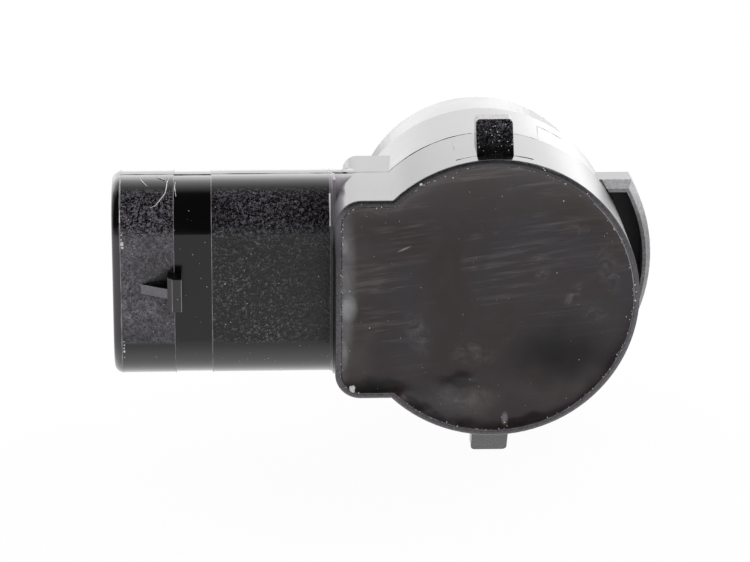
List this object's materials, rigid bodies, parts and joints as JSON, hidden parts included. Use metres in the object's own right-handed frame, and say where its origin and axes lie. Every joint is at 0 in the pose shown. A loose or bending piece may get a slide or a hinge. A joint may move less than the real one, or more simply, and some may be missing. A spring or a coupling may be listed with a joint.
{
  "type": "parking sensor",
  "caption": "Ultrasonic parking sensor: potted round plastic can with a side connector, ramped lugs, a side loop and a round sensing face at the front.",
  "frame": {"origin": "on the sensor's axis, in the plane of the shoulder at the spigot's foot", "axes": "+Y along the sensor's axis towards the sensing face, -X towards the connector's mouth, +Z towards the upper lug"},
  "size_m": [0.0453, 0.026, 0.0288],
  "materials": {
    "housing_plastic": "black moulded, grained connector",
    "potting_resin": "cast, slightly scuffed",
    "pin_metal": "tinned",
    "solder": "satin",
    "silicone": "matt",
    "face_paint": "satin black",
    "piezo_ceramic": "silvered",
    "foam": "open foam",
    "sealant": "cast",
    "wire_red": "insulation",
    "wire_black": "insulation",
    "board_laminate": "solder mask",
    "chip_plastic": "moulded",
    "tinned_lead": "tinned",
    "ferrite": "sintered",
    "copper_wire": "enamelled",
    "can_aluminium": "drawn",
    "chip_ceramic": "fired",
    "resistor_film": "coated"
  },
  "bodies": {
    "root": {"housing": "housing_plastic", "potting_fill": "potting_resin", "contact_pin_supply": "pin_metal", "contact_pin_signal": "pin_metal", "contact_pin_ground": "pin_metal", "solder_joints": "solder", "decoupling_ring": "silicone", "transducer_cup": "face_paint", "piezo_disc": "piezo_ceramic", "damping_pad": "foam", "cup_sealant": "sealant", "lead_wire_signal": "wire_red", "lead_wire_ground": "wire_black", "circuit_board": "board_laminate", "driver_chip": "chip_plastic", "driver_chip_leads": "tinned_lead", "transformer_base": "chip_plastic", "transformer_core": "ferrite", "transformer_winding": "copper_wire", "storage_capacitor": "can_aluminium", "capacitor_base": "chip_plastic", "ceramic_capacitors": "chip_ceramic", "resistors": "resistor_film", "diode": "chip_plastic"}
  },
  "joints": []
}
